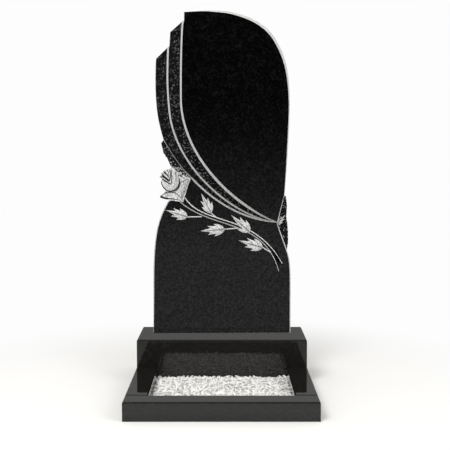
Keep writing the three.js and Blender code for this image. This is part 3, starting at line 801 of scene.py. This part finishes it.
# %% [markdown]
# ## Plinth and kerbs
# These are sawn blocks, polished all over, with a narrow polished chamfer along their edges. A cube is added
# at each block's size and place, and its edges are bevelled: the top ones wider than the upright ones.

# %% Sawn blocks
CHAMFER = 4 * MM
SMALL_CHAMFER = 1 * MM
CORNER = 1.2            # radians; two faces that meet at a corner turn by more than this


def sawn_block(name, node):
    low, high = (Vector(corner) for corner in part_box(node))
    alone()
    bpy.ops.mesh.primitive_cube_add(size=1, location=(low + high) / 2, scale=high - low)
    block = bpy.context.object
    block.name = name
    bpy.ops.object.transform_apply(location=True, rotation=True, scale=True)
    block.data.materials.append(BLOCK_GRANITE)
    bpy.ops.object.mode_set(mode="EDIT")
    bpy.ops.mesh.select_mode(type="EDGE")
    for is_top, width in ((True, CHAMFER), (False, SMALL_CHAMFER)):
        bpy.ops.mesh.select_all(action="DESELECT")
        mesh = bmesh.from_edit_mesh(block.data)
        for edge in mesh.edges:
            heights = [vertex.co.z for vertex in edge.verts]
            at_top = min(heights) > high.z - 0.1 * MM
            upright = abs(heights[0] - heights[1]) > (high.z - low.z) / 2 and edge.calc_face_angle() > CORNER
            edge.select_set(at_top if is_top else upright)
        bmesh.update_edit_mesh(block.data)
        bpy.ops.mesh.bevel(offset=width, segments=1, affect="EDGES")
    bpy.ops.object.mode_set(mode="OBJECT")
    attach(block, "root")
    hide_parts(node)
    return block


for name, node in [("plinth_block", "plinth"), ("front_kerb", "kerb_front"), ("left_kerb", "kerb_left"),
                   ("right_kerb", "kerb_right")]:
    print(name, len(sawn_block(name, node).data.polygons), "faces")

# %% [markdown]
# ## The bed of chippings
# Crushed stone has flat broken faces and sharp corners. One chip is an icosphere that a few random planes
# cut; eight of those make the kinds. Particles would be lost on export, so copies are placed by code into one
# mesh, in two layers over a bed, and each copy carries its own tint. The bed under them is painted grey, as
# the shade in the gaps between the chips.

# %% Chip kinds
CHIP_LENGTH = 28 * MM
CHIP_SHARES = (1, 0.27, 0.2)     # a chip's three sizes, as shares of its length
PLANES_PER_CHIP = 4
KINDS = 8
dice = random.Random(20)


def chip_kind(number):
    alone()
    bpy.ops.mesh.primitive_ico_sphere_add(subdivisions=1, radius=0.5, scale=CHIP_SHARES)
    chip = bpy.context.object
    chip.name = f"chip kind {number}"
    bpy.ops.object.transform_apply(location=True, rotation=True, scale=True)
    bpy.ops.object.mode_set(mode="EDIT")
    for _ in range(PLANES_PER_CHIP):
        way = Vector((dice.choice((-1, 1)), dice.uniform(-0.8, 0.8), dice.uniform(-0.8, 0.8))).normalized()
        bpy.ops.mesh.select_all(action="SELECT")
        bpy.ops.mesh.bisect(plane_co=way * dice.uniform(0.26, 0.4), plane_no=way, use_fill=True,
                            clear_outer=True)
    bpy.ops.mesh.select_all(action="SELECT")
    bpy.ops.mesh.remove_doubles(threshold=0.02)
    bpy.ops.mesh.quads_convert_to_tris()
    bpy.ops.mesh.normals_make_consistent(inside=False)
    bpy.ops.object.mode_set(mode="OBJECT")
    points = np.array([vertex.co for vertex in chip.data.vertices])
    faces = np.array([polygon.vertices for polygon in chip.data.polygons])
    bpy.data.objects.remove(chip)
    return points, faces


kinds = [chip_kind(number) for number in range(KINDS)]
print("faces of each kind of chip:", [len(faces) for _, faces in kinds])

# %% [markdown]
# The chips lie flat more often than they stand, so each copy is turned freely about the vertical and tilted a
# little. A chip against a kerb is pressed inside the bed's walls, so that nothing cuts into the granite.

# %% The bed
bed_low, bed_high = (Vector(corner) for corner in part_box("chippings"))
BED_LEVEL, TALLEST_CHIP = 30 * MM, 7 * MM
TINTS = ["#ffffff", "#fcfbf8", "#ffffff", "#f6f4f0", "#ffffff", "#dddcd9", "#faf8f4"]
# Painted shade: the block under the chips is tinted grey for the shade in the gaps between them.
GAP_SHADE_TINT = "#c2c1be"
CHIPS_ACROSS = 38
LAYER_DEPTHS_MM = (12, 7)        # from the bed's level down to the middles of each layer's chips
LAYER_SPREAD_MM = 1.8
BASE_DEPTH = 8 * MM              # from the bed's level down to the plain block under the chips


def turned(points, roll, lift, spin, size):
    """Rolled about its own length, its end lifted, turned about the vertical and sized."""
    turn = Matrix.Rotation(spin, 3, "Z") @ Matrix.Rotation(lift, 3, "Y") @ Matrix.Rotation(roll, 3, "X")
    return points @ np.array(turn).T * size


def chippings():
    all_points, all_faces, tints_and_gap_shade, count = [], [], [], 0
    pitch = (bed_high.x - bed_low.x) / CHIPS_ACROSS
    rows = round((bed_high.y - bed_low.y) / pitch)
    for layer_depth in LAYER_DEPTHS_MM:
        for row in range(rows):
            for column in range(CHIPS_ACROSS):
                points, faces = kinds[dice.randrange(KINDS)]
                size = CHIP_LENGTH * dice.uniform(0.65, 1.15)
                roll, lift, spin = dice.gauss(0, 0.5), dice.gauss(0, 0.4), dice.uniform(0, 2 * math.pi)
                here = turned(points, roll, lift, spin, size)
                here = here + [
                    bed_low.x + (column + 0.5 + dice.uniform(-0.5, 0.5)) * pitch,
                    bed_low.y + (row + 0.5 + dice.uniform(-0.5, 0.5)) * pitch,
                    BED_LEVEL - layer_depth * MM + dice.gauss(0, LAYER_SPREAD_MM) * MM,
                ]
                all_points.append(here)
                all_faces.append(faces + count)
                count += len(here)
                tints_and_gap_shade += [linear(dice.choice(TINTS))] * len(faces)
    points = np.concatenate(all_points)
    points = np.clip(points, bed_low, (bed_high.x, bed_high.y, BED_LEVEL + TALLEST_CHIP))
    alone()
    bpy.ops.mesh.primitive_cube_add(size=1)
    bed = bpy.context.object
    bed.name = "marble_chippings"
    base_high = Vector((bed_high.x, bed_high.y, BED_LEVEL - BASE_DEPTH))
    corners = [Vector((a, b, c)) for a in (0, 1) for b in (0, 1) for c in (0, 1)]
    start = len(points)
    base = [[bed_low[i] + corner[i] * (base_high[i] - bed_low[i]) for i in range(3)] for corner in corners]
    box_faces = [(0, 1, 3), (0, 3, 2), (4, 6, 7), (4, 7, 5), (0, 4, 5), (0, 5, 1),
                 (2, 3, 7), (2, 7, 6), (0, 2, 6), (0, 6, 4), (1, 5, 7), (1, 7, 3)]
    faces = np.concatenate(all_faces + [np.array(box_faces) + start])
    # The block under the chips takes the painted gap shade.
    tints_and_gap_shade += [linear(GAP_SHADE_TINT)] * len(box_faces)
    mesh = bpy.data.meshes.new("marble chippings")
    mesh.from_pydata(np.concatenate([points, np.array(base)]).tolist(), [], faces.tolist())
    bed.data = mesh
    mesh.materials.append(MARBLE)
    layer = mesh.color_attributes.new("tint_and_gap_shade", "FLOAT_COLOR", "CORNER")
    layer.data.foreach_set("color", np.repeat(np.array(tints_and_gap_shade), 3, axis=0).ravel())
    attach(bed, "root")
    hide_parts("chippings")
    return bed


bed = chippings()
print("chippings:", len(bed.data.polygons), "triangles")

# %% [markdown]
# ## Floor and light
# A polished black stone shows mostly what it mirrors, so the light is arranged as a photographer would: a
# pale floor, soft light from above, and darkness behind the camera, so that the panel stays black at the top
# and turns to dark grey lower down, where it mirrors the pale studio. Each stop in the two mirrored lists sets
# the grey that one slope mirrors: 30 degrees down at 0, level at 0.5 and 30 degrees up at 1.

# %% The floor
FLOOR_SIZE = 30
BACKDROP = "#fdfdfd"
FLOOR_COLOUR, FLOOR_FADE_FROM, FLOOR_FADE_TO = "#f4f3ef", 0.45, 1.3


def floor_material():
    """Lit stone near the memorial, where it takes the shadows, and the backdrop's own white further off."""
    material, tree, shader, place = new_material("pale floor")
    shader.inputs["Base Color"].default_value = linear(FLOOR_COLOUR)
    shader.inputs["Roughness"].default_value = 0.9
    far = add(tree, "ShaderNodeVectorMath", {0: place}, operation="LENGTH")
    fade = add(tree, "ShaderNodeMapRange", {"Value": far.outputs["Value"], "From Min": FLOOR_FADE_FROM,
                                            "From Max": FLOOR_FADE_TO}, interpolation_type="SMOOTHSTEP")
    white = add(tree, "ShaderNodeEmission", {"Color": linear(BACKDROP)})
    mix = add(tree, "ShaderNodeMixShader", {0: fade.outputs["Result"], 1: shader.outputs["BSDF"],
                                            2: white.outputs["Emission"]})
    tree.links.new(mix.outputs["Shader"], tree.nodes["Material Output"].inputs["Surface"])
    return material


alone()
bpy.ops.mesh.primitive_plane_add(size=FLOOR_SIZE, location=(0, 0, 0))
floor = bpy.context.object
floor.name = "floor"
floor.data.materials.append(floor_material())
floor.visible_glossy = False

# %% The world
def set_world():
    """What the camera sees, what the polish mirrors, and soft light for every other ray."""
    world = bpy.data.worlds.new("studio")
    bpy.context.scene.world = world
    world.use_nodes = True
    tree = world.node_tree
    tree.nodes.clear()
    way = add(tree, "ShaderNodeTexCoord").outputs["Generated"]
    split = add(tree, "ShaderNodeSeparateXYZ", {"Vector": way})
    height = add(tree, "ShaderNodeMapRange", {"Value": split.outputs["Z"], "From Min": -0.5, "From Max": 0.5})
    front = ramp(tree, height.outputs["Result"], MIRRORED_FROM_FRONT)
    behind = add(tree, "ShaderNodeMath", {0: split.outputs["Y"], 1: 0.0}, operation="GREATER_THAN")
    back = ramp(tree, height.outputs["Result"], MIRRORED_FROM_BEHIND)
    mirrored = add(tree, "ShaderNodeMix", {0: behind.outputs["Value"], 6: front, 7: back}, data_type="RGBA")
    rays = add(tree, "ShaderNodeLightPath")
    glossy = add(tree, "ShaderNodeBackground", {"Color": mirrored.outputs[2]})
    soft = add(tree, "ShaderNodeBackground", {"Color": linear(SOFT_LIGHT), "Strength": SOFT_STRENGTH})
    seen = add(tree, "ShaderNodeBackground", {"Color": linear(BACKDROP)})
    lit = add(tree, "ShaderNodeMixShader", {0: rays.outputs["Is Glossy Ray"], 1: soft.outputs["Background"],
                                            2: glossy.outputs["Background"]})
    whole = add(tree, "ShaderNodeMixShader", {0: rays.outputs["Is Camera Ray"], 1: lit.outputs["Shader"],
                                              2: seen.outputs["Background"]})
    add(tree, "ShaderNodeOutputWorld", {"Surface": whole.outputs["Shader"]})


def soft_light(name, place, aim, size, watts):
    way = Vector(aim) - Vector(place)
    alone()
    bpy.ops.object.light_add(type="AREA", location=place, rotation=way.to_track_quat("-Z", "Y").to_euler())
    light = bpy.context.object
    light.name = name
    light.data.shape = "DISK"
    light.data.size = size
    light.data.energy = watts


SOFT_LIGHT, SOFT_STRENGTH = "#ffffff", 0.75
KEY_WATTS, FILL_WATTS = 60, 20
MIRRORED_FROM_BEHIND = [
    (0.5, "#7c7c7a"), (0.724, "#878785"), (0.79, "#9c9c99"), (0.9, "#a0a09d"), (1.0, "#202020"),
]
MIRRORED_FROM_FRONT = [
    (0.0, "#a2a2a2"), (0.168, "#a8a8a8"), (0.193, "#e2e2e2"), (0.205, "#cfcfcf"), (0.283, "#a6a6a6"),
    (0.384, "#a1a1a1"), (0.4155, "#8e8e8e"), (0.447, "#737373"), (0.485, "#5b5b5b"), (0.523, "#383838"),
    (0.575, "#000000"), (0.703, "#000000"), (0.709, "#ffffff"), (0.724, "#ffffff"), (0.728, "#000000"),
    (0.92, "#000000"), (0.98, "#7a7a7a"),
]
set_world()
soft_light("key", (-1.1, -2.0, 2.8), (0, 0, 0.6), 1.4, KEY_WATTS)
soft_light("fill", (2.2, -1.6, 1.9), (0, 0, 0.5), 1.6, FILL_WATTS)
bpy.context.scene.view_settings.view_transform = "Standard"
print("studio ready")
